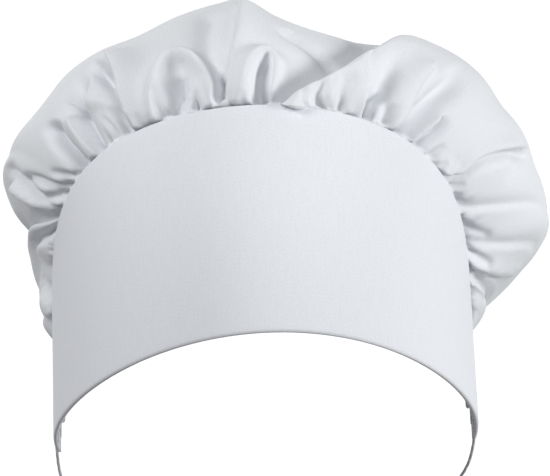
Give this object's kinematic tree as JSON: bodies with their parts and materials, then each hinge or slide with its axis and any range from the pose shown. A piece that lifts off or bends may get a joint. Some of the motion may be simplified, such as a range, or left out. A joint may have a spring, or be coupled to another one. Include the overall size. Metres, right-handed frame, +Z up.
{
  "type": "chef toque",
  "caption": "Kitchen cap with a wide smooth forehead band, a puffed gathered crown and a thin elastic cord round the nape.",
  "frame": {"origin": "middle of the head opening, level with the lower ends of the forehead band", "axes": "+Z up out of the wearer's head, -Y towards the wearer's front, +X towards the wearer's left"},
  "size_m": [0.2247, 0.2134, 0.2208],
  "materials": {
    "band_cloth": "white poly-cotton twill, pressed smooth",
    "crown_cloth": "white poly-cotton twill, gathered",
    "lining_cloth": "white plain-woven cotton",
    "interfacing": "stiff woven interfacing, matt",
    "towelling": "white looped towelling",
    "tape": "white cotton bias tape",
    "elastic": "white woven elastic, ribbed",
    "cord": "white braided elastic cord",
    "thread": "white polyester sewing thread",
    "label_cloth": "white satin ribbon, blank"
  },
  "bodies": {
    "root": {"band_outer": "band_cloth", "band_lining": "lining_cloth", "band_interfacing": "interfacing", "lower_edge_stitching": "thread", "sweatband": "towelling", "sweatband_upper_stitching": "thread", "sweatband_lower_stitching": "thread", "crown": "crown_cloth", "crown_seam_stitching": "thread", "seam_binding": "tape", "binding_stitching": "thread", "hem_casing": "crown_cloth", "hem_elastic": "elastic", "hem_stitching": "thread", "elastic_tack_left": "thread", "elastic_tack_right": "thread", "care_label": "label_cloth", "size_label": "label_cloth", "label_stitching": "thread", "nape_cord": "cord", "cord_tack_left": "thread", "cord_tack_right": "thread"}
  },
  "joints": []
}
